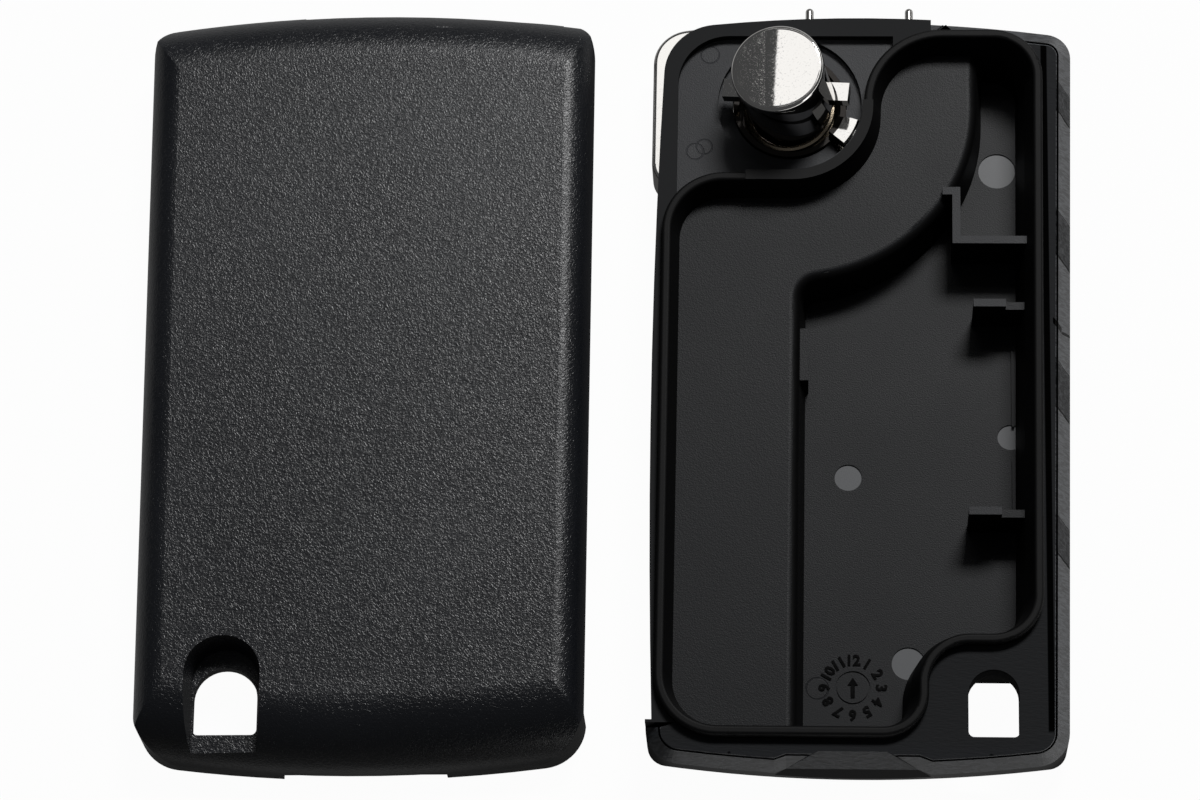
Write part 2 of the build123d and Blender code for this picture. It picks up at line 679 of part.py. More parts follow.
def main():
    os.makedirs("parts", exist_ok=True)
    chassis_place = Pos(*CHASSIS_PLACE) * Rot(0, 0, CHASSIS_TURN)
    pivot_place = chassis_place * PIVOT
    left_peg, right_peg = peg_places()
    pieces = {
        "back_cover": Pos(*COVER_PLACE) * build_cover(),
        "chassis": chassis_place * build_chassis(),
        "flip_head": pivot_place * build_head(),
        "push_button": pivot_place * build_button(),
        "button_spring": pivot_place * build_spring(),
        "seat_peg_left": pivot_place * Pos(left_peg, 0) * build_peg(),
        "seat_peg_right": pivot_place * Pos(right_peg, 0) * build_peg(),
    }
    for name, piece in pieces.items():
        export_step(piece, f"parts/{name}.step")


if __name__ == "__main__":
    main()
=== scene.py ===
import math

import bmesh
import bpy
from mathutils import Matrix, Vector


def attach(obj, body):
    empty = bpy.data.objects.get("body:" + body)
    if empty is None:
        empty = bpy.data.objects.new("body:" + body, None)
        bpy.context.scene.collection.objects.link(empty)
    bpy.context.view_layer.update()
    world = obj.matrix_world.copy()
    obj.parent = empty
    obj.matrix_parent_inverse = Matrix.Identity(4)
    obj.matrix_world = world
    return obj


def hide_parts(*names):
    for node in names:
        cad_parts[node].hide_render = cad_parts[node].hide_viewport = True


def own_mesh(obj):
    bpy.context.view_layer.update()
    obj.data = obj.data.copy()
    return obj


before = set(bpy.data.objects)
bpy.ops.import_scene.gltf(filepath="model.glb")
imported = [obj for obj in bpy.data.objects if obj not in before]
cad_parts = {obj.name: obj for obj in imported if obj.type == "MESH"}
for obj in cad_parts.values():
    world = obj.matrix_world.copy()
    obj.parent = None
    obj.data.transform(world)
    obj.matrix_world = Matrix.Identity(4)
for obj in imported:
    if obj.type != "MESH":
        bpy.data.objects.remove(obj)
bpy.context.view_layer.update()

# Sizes are in millimetres and in the chassis's own plan, unless a comment says otherwise
MM = 0.001

# Where the chassis lies in the frame, and the hub of its flip head
CHASSIS_PLACE = (21.68, -1.41)
CHASSIS_TURN = math.radians(-0.85)
PIVOT = (-6.1, 26.4)
HUB_R = 5.0

# The button's top disc in the frame, its bulge, and the fine raised line inside its edge
DISC_CENTRE = (14.88, 25.1, 14.0)
DISC_R = 4.1
DISC_LEAN = math.radians(-9.0)
DISC_DOME = 0.0037
DISC_DEPTH = 0.3
DISC_LINE = (DISC_R - 0.42, DISC_R - 0.18)
DISC_LINE_RISE = 0.03

# Levels of the chassis: deep floor, ledge under the flange, sunk floor round the button, flange and rib
DEEP_Z = 1.0
LEDGE_Z = 5.3
CHAMBER_Z = (5.52, 6.4)
FLANGE_Z = 7.0
RIB_Z = 8.0
DEEP_BELOW = DEEP_Z + 0.05
FLOORS_BELOW = FLANGE_Z - 0.4
FLANGE_BAND = (FLANGE_Z - 0.2, FLANGE_Z + 0.2)
# How upright a face's normal is where it counts as level
LEVEL = (0.90, 0.97)

# Marks of the ejector pins on the deep floor, and faint marks of other pins: x, y, radius
PIN_MARKS = ((12.3, 22.2, 1.65), (13.3, -2.9, 1.15), (-0.8, -6.7, 1.2), (4.4, -23.5, 1.45))
FAINT_MARKS = (
    (-13.2, 31.1, 0.8), (-14.4, 21.8, 0.75), (-13.6, 22.25, 0.7), (-15.55, -31.8, 0.75),
    (-2.6, 9.85, 1.0), (-3.4, -25.8, 0.95),
)
# Half the width of the fine rims round the faint ones
FAINT_RIM = 0.05

# Rim of the flange outside the rib: rings as inset and height, and how far an inset also slides along -Y
RIM_RINGS = ((0.0, LEDGE_Z), (1.10, 6.80), (1.13, 6.60), (1.27, 6.60), (1.28, 6.93), (1.35, FLANGE_Z))
RIM_SLIDE = 0.36
# The key ring hole, and the reach round it that has no rim
RING_HOLE = (11.45, -28.7)
RING_HOLE_REACH = 5.5
# The ledge's faces point up by at least this, and lie this close to its level
LEDGE_NORMAL = 0.99
SAME_LEVEL = 0.02
# How close points are that count as one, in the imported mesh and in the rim
SAME_POINT = 0.002
SAME_RIM_POINT = 0.001
# Material slots of the flange
PLAIN_SLOT = 0
WORN_SLOT = 1
# Pry notch at the low end, and the normals of its floor, which wears as the bevel does
NOTCH_FLOOR = (0.4, 0.7)
HALF_LENGTH = 34.65
PRY_X = -0.4
PRY_WIDTH = 14.0
PRY_INNER_WIDTH = 5.7
PRY_REACH = 1.65
PRY_DEPTH = 2.6

# Where the flange grows lighter towards its right and low edges, painted shade near the rib giving way to
# painted light, and the black gutter at the right, painted shade along the rib's outer side
FLANGE_SHADE_FADE_X = (15.9, 17.6)
FLANGE_SHADE_FADE_Y = (-31.8, -33.4)
GUTTER_SHADE_X = (16.0, 16.5)
GUTTER_SHADE_END_Y = (-31.5, -31.0)
# Level of the groove's floor, which is painted black as painted shade in the recess
GROOVE_Z = 6.64
# The worn bevel's normals, where the right one starts, its inner edge, and how its patches slant
BEVEL = (0.30, 0.88)
RIGHT_BEVEL_X = (16.6, 17.0)
BEVEL_X = 17.3
BEVEL_SLANT = 0.85
# Darker patches on the right bevel: low and high y, and the black lines under and over each
BEVEL_PATCHES = ((25.7, 28.4), (11.9, 16.0), (-2.3, 1.9), (-15.6, -12.3))
LINE_UNDER = 0.22
LINE_OVER = 0.09
# Joint line across the flange: where it starts, and where it turns level
JOINT_START = (16.8, 5.75)
JOINT_TURN = (17.55, 4.95)
JOINT_WIDTH = 0.28
# Dull smudges on the low end of the flange: x, y, radius
SMUDGES = (
    (-10.8, -33.3, 0.9), (-15.0, -32.6, 0.5),
    (9.0, -33.0, 0.8), (11.2, -33.3, 1.0), (12.9, -34.0, 0.9),
)

# Date wheel on the deep floor, with a number for each month
WHEEL = (-0.35, -25.7)
WHEEL_NUMBERS_R = 2.4
MONTHS = 12
NUMBER_HEIGHT = 1.3
NUMBER_RISE = 0.09
NUMBER_BOLDER = 0.05
ARROW_LENGTH = 1.8
ARROW_WIDTH = 0.9

# Colours
COVER_DARK = (0.0070, 0.0079, 0.0102, 1)
COVER_LIGHT = (0.0088, 0.0099, 0.0125, 1)
WALL_TONE = (0.0012, 0.0012, 0.0014, 1)
FLOOR_TONE = (0.0066, 0.0072, 0.0086, 1)
CHAMBER_LIT_TONE = (0.0270, 0.0280, 0.0310, 1)
STRIP_TONE = (0.0120, 0.0125, 0.0135, 1)
PIN_SHEEN_TONE = (0.140, 0.143, 0.148, 1)
FLANGE_TONE = (0.0165, 0.0172, 0.0185, 1)
FLANGE_LIT_EDGE_TONE = (0.0170, 0.0180, 0.0200, 1)
WORN_FLANGE = (0.070, 0.073, 0.078, 1)
WORN_BEVEL = (0.034, 0.036, 0.040, 1)
PATCH_TONE = (0.004, 0.0045, 0.0055, 1)
LINE_BLACK = (0.0005, 0.0005, 0.0005, 1)
NUMBER_BLACK = (0.0006, 0.0006, 0.0007, 1)
NICKEL = (0.86, 0.84, 0.81, 1)
HUB_TONE = (0.035, 0.032, 0.030, 1)
WIRE_DARK = (0.50, 0.40, 0.28, 1)
WIRE_LIGHT = (0.70, 0.60, 0.46, 1)
FLOOR_BASE = (0.02, 0.02, 0.02, 1)
WHITE = (1, 1, 1, 1)
BLACK = (0, 0, 0, 1)
# The plastics' refractive index, and how strongly each one reflects
PLASTIC_IOR = 1.5
CHASSIS_GLOSS = 0.18
FLANGE_GLOSS = 0.05
BEVEL_GLOSS = 0.5
NUMBER_GLOSS = 0.06
# Sockets of a node that mixes colours: the share and the two colours, and the mixed colour
MIX_INPUTS = (0, 6, 7)
MIX_RESULT = 2

# Camera over the object, tilted towards the key ring end, aimed at a point of the frame
FOCAL_PIXELS = 4600.0
IMAGE_WIDTH = 1200.0
SENSOR_MM = 36.0
CAMERA_DISTANCE = 400.0
CAMERA_TILT = math.radians(20.0)
CAMERA_SIDE = 0.045
CAMERA_ROLL = math.radians(0.4)
CAMERA_TARGET = (-0.72, -1.81, 4.0)
CLIP_START = 10.0

# Soft lights over the back of the table, in metres and watts: name, left, right, near, far, power
LIGHT_HEIGHT = 0.66
LIGHTS = (
    ("wide_soft", -0.199, 0.40, 0.28, 0.50, 0.42),
    ("key_soft", 0.07, 0.33, 0.36, 0.56, 5.6),
)
SURROUND = (0.95, 0.97, 1.0, 1)
SURROUND_STRENGTH = 0.06
# Half the stage's width in metres, and how far floor and table lie under the object, in millimetres
STAGE_HALF = 1.2
FLOOR_DEPTH = 0.02
TABLE_DEPTH = 0.04
FLOOR_GLOW = 0.97
# Glow of the table all over, and what some parts of it add: painted light to the right and before the
# chassis, painted shadow under the object and before the cover
TABLE_GLOW = 0.30
RIGHT_GLOW = 0.8
CHASSIS_FRONT_GLOW = 0.7
COVER_FRONT_SHADOW_GLOW = -0.2
UNDER_SHADOW_GLOW = -0.24
# Borders of those parts in the frame, in metres: right, front, between the halves, under the object
RIGHT_BORDER = (0.041, 0.045)
FRONT_BORDER = (-0.036, -0.040)
HALVES_BORDER = (-0.002, 0.004)
UNDER_HALF = (0.041, 0.036)
UNDER_SOFT = 0.001


class Nodes:
    """A short way to build a material's node tree."""

    def __init__(self, name):
        self.material = bpy.data.materials.new(name)
        self.material.use_nodes = True
        self.tree = self.material.node_tree
        self.shader = self.tree.nodes["Principled BSDF"]

    def node(self, kind, settings=None, **inputs):
        made = self.tree.nodes.new(kind)
        for key, value in (settings or {}).items():
            setattr(made, key, value)
        for key, value in inputs.items():
            self.put(made.inputs[key.replace("_", " ")], value)
        return made

    def put(self, socket, value):
        if isinstance(value, bpy.types.NodeSocket):
            self.tree.links.new(value, socket)
        else:
            socket.default_value = value

    def math(self, operation, first, second=0.0):
        made = self.tree.nodes.new("ShaderNodeMath")
        made.operation = operation
        self.put(made.inputs[0], first)
        self.put(made.inputs[1], second)
        return made.outputs[0]

    def chain(self, operation, values):
        total = values[0]
        for value in values[1:]:
            total = self.math(operation, total, value)
        return total

    def add(self, *values):
        return self.chain("ADD", values)

    def times(self, *values):
        return self.chain("MULTIPLY", values)

    def most(self, *values):
        return self.chain("MAXIMUM", values)

    def without(self, value):
        return self.math("SUBTRACT", 1.0, value)

    def ramp(self, value, low, high, start=0.0, end=1.0):
        """Value from low to high becomes start to end, held at both ends."""
        made = self.node("ShaderNodeMapRange", {"clamp": True, "interpolation_type": "SMOOTHSTEP"})
        sockets = ("Value", "From Min", "From Max", "To Min", "To Max")
        for key, given in zip(sockets, (value, low, high, start, end)):
            self.put(made.inputs[key], given)
        return made.outputs[0]

    def between(self, value, low, high, soft=0.02):
        """1 where value lies between low and high."""
        rise = self.ramp(value, low - soft, low + soft)
        fall = self.ramp(value, high + soft, high - soft)
        return self.times(rise, fall)

    def mix(self, share, first, second):
        made = self.node("ShaderNodeMix", {"data_type": "RGBA"})
        for at, value in zip(MIX_INPUTS, (share, first, second)):
            self.put(made.inputs[at], value)
        return made.outputs[MIX_RESULT]

    def millimetres(self, shift=(0, 0), turn=0.0):
        """Object coordinates in millimetres, about a point of the frame and turned with the chassis."""
        place = self.node("ShaderNodeTexCoord").outputs["Object"]
        moved = self.node("ShaderNodeVectorMath", {"operation": "MULTIPLY_ADD"})
        self.put(moved.inputs[0], place)
        moved.inputs[1].default_value = (1 / MM,) * 3
        moved.inputs[2].default_value = (-shift[0], -shift[1], 0)
        turned = self.node("ShaderNodeVectorRotate", {"rotation_type": "Z_AXIS"})
        self.put(turned.inputs["Vector"], moved.outputs[0])
        turned.inputs["Angle"].default_value = -turn
        return turned.outputs[0]

    def axes(self, vector):
        return self.node("ShaderNodeSeparateXYZ", Vector=vector).outputs

    def plan(self, vector):
        """The vector's x, y and z, and the vector flattened to z 0."""
        x, y, z = self.axes(vector)
        return x, y, z, self.node("ShaderNodeCombineXYZ", X=x, Y=y).outputs[0]

    def facing_up(self):
        """The Z of the true normal."""
        return self.axes(self.node("ShaderNodeNewGeometry").outputs["True Normal"])[2]

    def away(self, flat, x, y):
        """Distance in plan from a point."""
        made = self.node("ShaderNodeVectorMath", {"operation": "DISTANCE"})
        self.put(made.inputs[0], flat)
        made.inputs[1].default_value = (x, y, 0)
        return made.outputs["Value"]

    def noise(self, place, scale, detail=3.0, distortion=0.0, stretch=(1, 1, 1), turn=0.0):
        """Noise with its scale per millimetre, in a stretched and turned place."""
        mapped = self.node("ShaderNodeMapping")
        self.put(mapped.inputs["Vector"], place)
        mapped.inputs["Scale"].default_value = stretch
        mapped.inputs["Rotation"].default_value = (0, 0, turn)
        made = self.node("ShaderNodeTexNoise")
        self.put(made.inputs["Vector"], mapped.outputs[0])
        made.inputs["Scale"].default_value = scale
        made.inputs["Detail"].default_value = detail
        made.inputs["Distortion"].default_value = distortion
        return made.outputs["Fac"]

    def ridges(self, noise, width):
        """1 along the lines where the noise is one half, falling to 0 away from them."""
        return self.ramp(self.math("ABSOLUTE", self.math("SUBTRACT", noise, 0.5)), width, 0.0)

    def masks(self, spots, flat, ragged=0.0, edge=0.08):
        """1 inside any of the round spots, each given as x, y and radius."""
        total = 0.0
        for x, y, radius in spots:
            reach = self.add(self.away(flat, x, y), ragged)
            total = self.most(total, self.ramp(reach, radius, radius - edge))
        return total

    def relief(self, height):
        """Bump from a height in millimetres."""
        made = self.node("ShaderNodeBump")
        self.put(made.inputs["Height"], height)
        made.inputs["Distance"].default_value = MM
        made.inputs["Strength"].default_value = 1.0
        self.tree.links.new(made.outputs[0], self.shader.inputs["Normal"])

    def set(self, **inputs):
        for key, value in inputs.items():
            self.put(self.shader.inputs[key.replace("_", " ")], value)


def dimmed(colour, share):
    """The colour with a share of its strength."""
    return tuple(part * share for part in colour[:3]) + (1,)


def cover_plastic():
    """Black plastic with a grain of short wavy fibres on the outer face."""
    n = Nodes("cover_grained_plastic")
    place = n.millimetres()
    long_fibres = n.noise(place, scale=1.9, detail=2.0, distortion=0.7, stretch=(1.0, 0.75, 1.0), turn=0.5)
    short_fibres = n.noise(place, scale=3.3, detail=1.0, distortion=0.5)
    pebbles = n.noise(place, scale=7.5, detail=2.0)
    patches = n.noise(place, scale=0.05, detail=2.0)
    speckle = n.ramp(n.noise(place, scale=5.0, detail=1.0), 0.35, 0.75)
    n.set(
        Base_Color=n.mix(n.ramp(patches, 0.35, 0.65), COVER_DARK, COVER_LIGHT),
        Roughness=n.add(n.ramp(patches, 0.3, 0.7, start=0.27, end=0.30), n.times(speckle, 0.05)),
        IOR=PLASTIC_IOR,
    )
    coarse = n.times(n.ridges(long_fibres, width=0.10), 0.004)
    fine = n.times(n.ridges(short_fibres, width=0.12), 0.0105)
    n.relief(n.add(coarse, fine, n.times(pebbles, 0.0125)))
    return n.material


def chassis_plastic():
    """Black plastic: matte spark finish on the floors, dark walls and rib, marks of the ejector pins with
    a painted reflection, and painted light on the sunk floor round the button.
    """
    n = Nodes("chassis_plastic")
    place = n.millimetres(CHASSIS_PLACE, CHASSIS_TURN)
    _, _, z, flat = n.plan(place)
    level = n.ramp(n.facing_up(), *LEVEL)
    floors = n.times(level, n.math("LESS_THAN", z, FLOORS_BELOW))
    deep = n.times(level, n.math("LESS_THAN", z, DEEP_BELOW))
    flange = n.times(level, n.between(z, *FLANGE_BAND))
    chamber = n.times(level, n.between(z, *CHAMBER_Z))

    pins = n.times(n.masks(PIN_MARKS, flat, edge=0.06), deep)
    faint = n.times(n.masks(FAINT_MARKS, flat), n.most(floors, flange))
    rims = 0.0
    for x, y, radius in FAINT_MARKS:
        rim = n.between(n.away(flat, x, y), radius - FAINT_RIM, radius + FAINT_RIM, soft=0.03)
        rims = n.most(rims, rim)

    base = n.mix(floors, WALL_TONE, FLOOR_TONE)
    # The sunk floor round the button gets a lighter base than the other floors: painted light
    base = n.mix(chamber, base, CHAMBER_LIT_TONE)
    base = n.mix(flange, base, STRIP_TONE)
    # The pin marks get a light grey base: painted reflection of the light in their smooth floors
    base = n.mix(pins, base, PIN_SHEEN_TONE)
    clouds = n.math("SUBTRACT", n.noise(place, scale=0.10, detail=3.0), 0.5)
    roughness = n.add(n.ramp(floors, 0, 1, start=0.60, end=0.44), n.times(clouds, floors, 0.10))
    roughness = n.add(roughness, n.times(flange, 0.12), n.times(pins, -0.16), n.times(faint, -0.04))
    n.set(Base_Color=base, Roughness=roughness, IOR=PLASTIC_IOR, Specular_IOR_Level=CHASSIS_GLOSS)

    grain = n.noise(place, scale=9.0, detail=3.0)
    spark = n.ramp(n.times(floors, n.without(pins)), 0, 1, start=0.003, end=0.017)
    n.relief(n.add(n.times(grain, spark), n.times(rims, floors, -0.03)))
    return n.material


def joint_line(n, x, y):
    """1 along the joint across the right flange: first slanted, then level to the edge."""
    slope = (JOINT_TURN[1] - JOINT_START[1]) / (JOINT_TURN[0] - JOINT_START[0])
    over = n.add(y, -JOINT_START[1], n.times(n.add(x, -JOINT_START[0]), -slope))
    across = n.between(over, -JOINT_WIDTH, JOINT_WIDTH, soft=0.04)
    slanted = n.times(across, n.between(x, JOINT_START[0], JOINT_TURN[0]))
    across = n.between(n.add(y, -JOINT_TURN[1]), -JOINT_WIDTH, 0.0, soft=0.04)
    level = n.times(across, n.ramp(x, JOINT_TURN[0], JOINT_TURN[0] + 0.05))
    return n.most(slanted, level)


def flange_plastic(name, gloss, worn):
    """The flange's smooth black plastic: worn grey bevel with darker patches, smudges at the low end,
    painted shade in the groove and along the rib, and painted light towards the right and low edges.
    """
    n = Nodes(name)
    place = n.millimetres(CHASSIS_PLACE, CHASSIS_TURN)
    x, y, z, flat = n.plan(place)
    facing = n.facing_up()
    bevel = n.between(facing, *BEVEL, soft=0.04)
    right = n.times(n.ramp(x, *RIGHT_BEVEL_X), bevel)
    wavy = n.noise(place, scale=0.9, detail=2.0)
    mottle = n.noise(place, scale=2.2, detail=4.0, distortion=1.0)
    streaks = n.noise(place, scale=1.3, detail=4.0, distortion=0.6, stretch=(1.0, 4.0, 1.0), turn=0.6)
    scuffs = n.ramp(streaks, 0.35, 0.65)

    slant = n.times(n.math("SUBTRACT", x, BEVEL_X), BEVEL_SLANT)
    along = n.add(y, slant, n.times(wavy, 0.3), -0.15)
    patches = 0.0
    lines = 0.0
    for low, high in BEVEL_PATCHES:
        patches = n.most(patches, n.between(along, low, high, soft=0.04))
        under = n.between(along, low - LINE_UNDER, low, soft=0.04)
        over = n.between(along, high, high + LINE_OVER, soft=0.03)
        lines = n.most(lines, under, over)
    patches = n.times(patches, right)
    # The floor of the groove is painted black: painted shade in the recess
    groove_shade = n.times(n.ramp(facing, 0.9, 0.95), n.ramp(z, GROOVE_Z + 0.02, GROOVE_Z))
    # A black band along the rib's outer side on the right: painted shade
    gutter_shade = n.times(n.between(x, *GUTTER_SHADE_X, soft=0.06), n.ramp(y, *GUTTER_SHADE_END_Y), n.without(bevel))
    smudges = n.times(n.masks(SMUDGES, flat, n.times(wavy, 1.4), edge=0.15), n.without(bevel))
    # Black lines, the joint and smudges, with painted shade in the groove and the gutter
    dark_marks_and_shade = n.most(n.times(lines, right), joint_line(n, x, y), groove_shade, gutter_shade, n.times(smudges, 0.8))

    # Painted shade on the flange near the rib, growing lighter towards its right and low edges
    outer = n.most(n.ramp(x, *FLANGE_SHADE_FADE_X), n.ramp(y, *FLANGE_SHADE_FADE_Y))
    shaded_flat_tone = n.mix(outer, FLANGE_TONE, FLANGE_LIT_EDGE_TONE)
    worn_tone = n.mix(scuffs, dimmed(worn, 0.5), dimmed(worn, 1.6))
    base = n.mix(bevel, shaded_flat_tone, worn_tone)
    base = n.mix(n.times(patches, n.ramp(mottle, 0.3, 0.7, start=0.5, end=1.0)), base, PATCH_TONE)
    base = n.mix(dark_marks_and_shade, base, LINE_BLACK)
    duller = n.times(patches, mottle, 0.5)
    roughness = n.add(0.56, n.times(bevel, -0.12), duller, n.times(scuffs, bevel, -0.05))
    n.set(Base_Color=base, Roughness=roughness, Metallic=dark_marks_and_shade, IOR=PLASTIC_IOR, Specular_IOR_Level=gloss)
    n.relief(n.add(n.times(dark_marks_and_shade, -0.05), n.times(patches, mottle, 0.06), n.times(streaks, 0.03)))
    return n.material


def number_plastic():
    """Black plastic of the raised numbers, polished by the mould."""
    n = Nodes("number_plastic")
    wear = n.noise(n.millimetres(), scale=4.0, detail=2.0)
    n.set(
        Base_Color=NUMBER_BLACK,
        Roughness=n.ramp(wear, 0.3, 0.7, start=0.58, end=0.72),
        IOR=PLASTIC_IOR,
        Specular_IOR_Level=NUMBER_GLOSS,
    )
    n.relief(n.times(wear, 0.01))
    return n.material


def disc_relief(n, place):
    """Height of the button's top: a slight bulge, and a fine raised line inside its edge."""
    moved = n.node("ShaderNodeVectorMath", {"operation": "SUBTRACT"})
    n.put(moved.inputs[0], place)
    moved.inputs[1].default_value = DISC_CENTRE
    turned = n.node("ShaderNodeVectorRotate", {"rotation_type": "Y_AXIS"})
    n.put(turned.inputs["Vector"], moved.outputs[0])
    turned.inputs["Angle"].default_value = DISC_LEAN
    _, _, z, flat = n.plan(turned.outputs[0])
    reach = n.away(flat, 0, 0)
    top = n.math("GREATER_THAN", z, -DISC_DEPTH)
    bulge = n.times(top, n.times(reach, reach), -DISC_DOME)
    line = n.times(n.between(reach, *DISC_LINE, soft=0.07), top, DISC_LINE_RISE)
    return bulge, line


def chrome(name, roughness, wear, dark_hub=False, disc=False):
    """Nickel plate with fine dull specks. The flip head has a dark hub, and the button a bulged disc."""
    n = Nodes(name)
    place = n.millimetres()
    peel = n.noise(place, scale=0.5, detail=2.0)
    specks = n.noise(place, scale=6.0, detail=4.0)
    base = n.mix(n.ramp(specks, 0.55, 0.75), NICKEL, dimmed(NICKEL, 0.86))
    height = n.add(n.times(peel, 0.0006), n.times(specks, 0.00009))
    if dark_hub:
        *_, flat = n.plan(n.millimetres(CHASSIS_PLACE, CHASSIS_TURN))
        hub = n.ramp(n.away(flat, *PIVOT), HUB_R + 0.05, HUB_R)
        base = n.mix(hub, base, HUB_TONE)
    if disc:
        height = n.add(height, *disc_relief(n, place))
    dull = n.times(n.ramp(specks, 0.5, 0.8), wear)
    n.set(Base_Color=base, Metallic=1.0, Roughness=n.add(roughness, dull))
    n.relief(height)
    return n.material


def spring_wire():
    """Drawn steel wire with faint lines along it."""
    n = Nodes("spring_wire")
    lines = n.noise(n.millimetres(), scale=8.0, detail=3.0, stretch=(1, 1, 4))
    n.set(
        Base_Color=n.mix(lines, WIRE_DARK, WIRE_LIGHT),
        Metallic=1.0,
        Roughness=n.ramp(lines, 0.3, 0.7, start=0.18, end=0.32),
    )
    n.relief(n.times(lines, 0.006))
    return n.material


def dress(node, material):
    """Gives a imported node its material."""
    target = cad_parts[node]
    if not target.material_slots:
        target.data.materials.append(material)
    for held in target.material_slots:
        held.link = "OBJECT"
        held.material = material


def chassis_matrix():
    """From chassis millimetres to the frame's metres."""
    place = Matrix.Translation((CHASSIS_PLACE[0], CHASSIS_PLACE[1], 0))
    return Matrix.Scale(MM, 4) @ place @ Matrix.Rotation(CHASSIS_TURN, 4, "Z")


def as_mesh(name, shape):
    """A mesh of the built shape, which is freed."""
    mesh = bpy.data.meshes.new(name)
    shape.to_mesh(mesh)
    shape.free()
    return mesh


def as_piece(name, mesh, *materials):
    """An object in the scene, with its materials."""
    for material in materials:
        mesh.materials.append(material)
    piece = bpy.data.objects.new(name, mesh)
    bpy.context.scene.collection.objects.link(piece)
    return piece


def evaluated_mesh(holder):
    """A mesh of an object as its modifiers or its curve make it."""
    graph = bpy.context.evaluated_depsgraph_get()
    return bpy.data.meshes.new_from_object(holder.evaluated_get(graph))


def raised_text(body):
    """A mesh of one raised number, centred on the origin, in millimetres."""
    curve = bpy.data.curves.new("number", "FONT")
    curve.body = body
    curve.size = NUMBER_HEIGHT
    curve.extrude = NUMBER_RISE
    curve.resolution_u = 2
    curve.offset = NUMBER_BOLDER
    curve.align_x = "CENTER"
    curve.align_y = "CENTER"
    holder = bpy.data.objects.new("number", curve)
    bpy.context.scene.collection.objects.link(holder)
    mesh = evaluated_mesh(holder)
    bpy.data.objects.remove(holder)
    bpy.data.curves.remove(curve)
    return mesh


def raised_arrow():
    """A mesh of the wheel's arrow, pointing to +Y, in millimetres."""
    half = ARROW_LENGTH / 2
    neck = half / 4
    stem = ARROW_WIDTH / 5
    head = ARROW_WIDTH / 2
    right_side = ((stem, -half), (stem, neck), (head, neck), (0, half))
    left_side = ((-head, neck), (-stem, neck))
    outline = ((-stem, -half), *right_side, *left_side)
    shape = bmesh.new()
    face = shape.faces.new([shape.verts.new((x, y, -NUMBER_RISE)) for x, y in outline])
    raised = bmesh.ops.extrude_face_region(shape, geom=[face])
    top = [v for v in raised["geom"] if isinstance(v, bmesh.types.BMVert)]
    bmesh.ops.translate(shape, verts=top, vec=(0, 0, 2 * NUMBER_RISE))
    bmesh.ops.recalc_face_normals(shape, faces=shape.faces)
    return as_mesh("arrow", shape)


def date_wheel(material):
    """The raised months round the date wheel, and its arrow."""
    joined = bmesh.new()
    for month in range(1, MONTHS + 1):
        angle = math.radians(90 - 360 / MONTHS * month)
        across = WHEEL_NUMBERS_R * math.cos(angle)
        along = WHEEL_NUMBERS_R * math.sin(angle)
        place = Matrix.Translation((WHEEL[0] + across, WHEEL[1] + along, DEEP_Z))
        mesh = raised_text(str(month))
        mesh.transform(place @ Matrix.Rotation(angle - math.pi / 2, 4, "Z"))
        joined.from_mesh(mesh)
        bpy.data.meshes.remove(mesh)
    arrow = raised_arrow()
    arrow.transform(Matrix.Translation((WHEEL[0], WHEEL[1], DEEP_Z)))
    joined.from_mesh(arrow)
    bpy.data.meshes.remove(arrow)
    mesh = as_mesh("date_wheel_numbers", joined)
    mesh.transform(chassis_matrix())
    piece = as_piece("date_wheel_numbers", mesh, material)
    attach(piece, "case")


def ledge_outline(ledge):
    """The border edges of the ledge's faces, and the way inward at each point of its outer rim."""
    faces = set(ledge)
    border = []
    inward = {}
    for face in ledge:
        for edge in face.edges:
            beside = [other for other in edge.link_faces if other is not face]
            if any(other in faces for other in beside):
                continue
            loop = next(held for held in edge.link_loops if held.face is face)
            first, second = loop.vert, loop.link_loop_next.vert
            border.append((first, second))
            middle = (first.co + second.co) / 2
            drops = all(other.calc_center_median().z < LEDGE_Z - SAME_LEVEL for other in beside)
            if drops and (middle.xy - Vector(RING_HOLE)).length > RING_HOLE_REACH:
                run = second.co - first.co
                aim = Vector((-run.y, run.x, 0))
                for vert in (first, second):
                    inward[vert] = inward.get(vert, Vector()) + aim
    return border, inward


def flange_rim(*materials):
    """The flange outside the rib: it stands on the chassis's ledge and ends in the worn bevel."""
    shape = bmesh.new()
    shape.from_mesh(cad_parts["chassis"].data)
    bmesh.ops.remove_doubles(shape, verts=shape.verts, dist=SAME_POINT * MM)
    shape.transform(chassis_matrix().inverted())
    ledge = []
    for face in shape.faces:
        at_ledge = all(abs(vert.co.z - LEDGE_Z) < SAME_LEVEL for vert in face.verts)
        if face.normal.z > LEDGE_NORMAL and at_ledge:
            ledge.append(face)
    border, inward = ledge_outline(ledge)

    made = bmesh.new()
    rings = {}
    for face in ledge:
        for vert in face.verts:
            if vert in rings:
                continue
            way = Vector((0, 0))
            if vert in inward:
                way = inward[vert].normalized().xy + Vector((0, -RIM_SLIDE))
            flats = [(vert.co.xy + way * inset, height) for inset, height in RIM_RINGS]
            rings[vert] = [made.verts.new((*flat, height)) for flat, height in flats]
        made.faces.new([rings[vert][-1] for vert in face.verts])
    for first, second in border:
        on_rim = first in inward and second in inward
        for low in range(len(RIM_RINGS) - 1):
            high = low + 1
            corners = (rings[first][low], rings[second][low], rings[second][high], rings[first][high])
            face = made.faces.new(corners)
            face.material_index = WORN_SLOT if low == 0 and on_rim else PLAIN_SLOT
    for face in ledge:
        made.faces.new([rings[vert][0] for vert in reversed(face.verts)])
    bmesh.ops.remove_doubles(made, verts=made.verts, dist=SAME_RIM_POINT)
    bmesh.ops.recalc_face_normals(made, faces=made.faces)
    shape.free()
    mesh = as_mesh("chassis_flange", made)
    mesh.transform(chassis_matrix())
    piece = as_piece("chassis_flange", mesh, *materials)
    cut_notch(piece)
    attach(piece, "case")


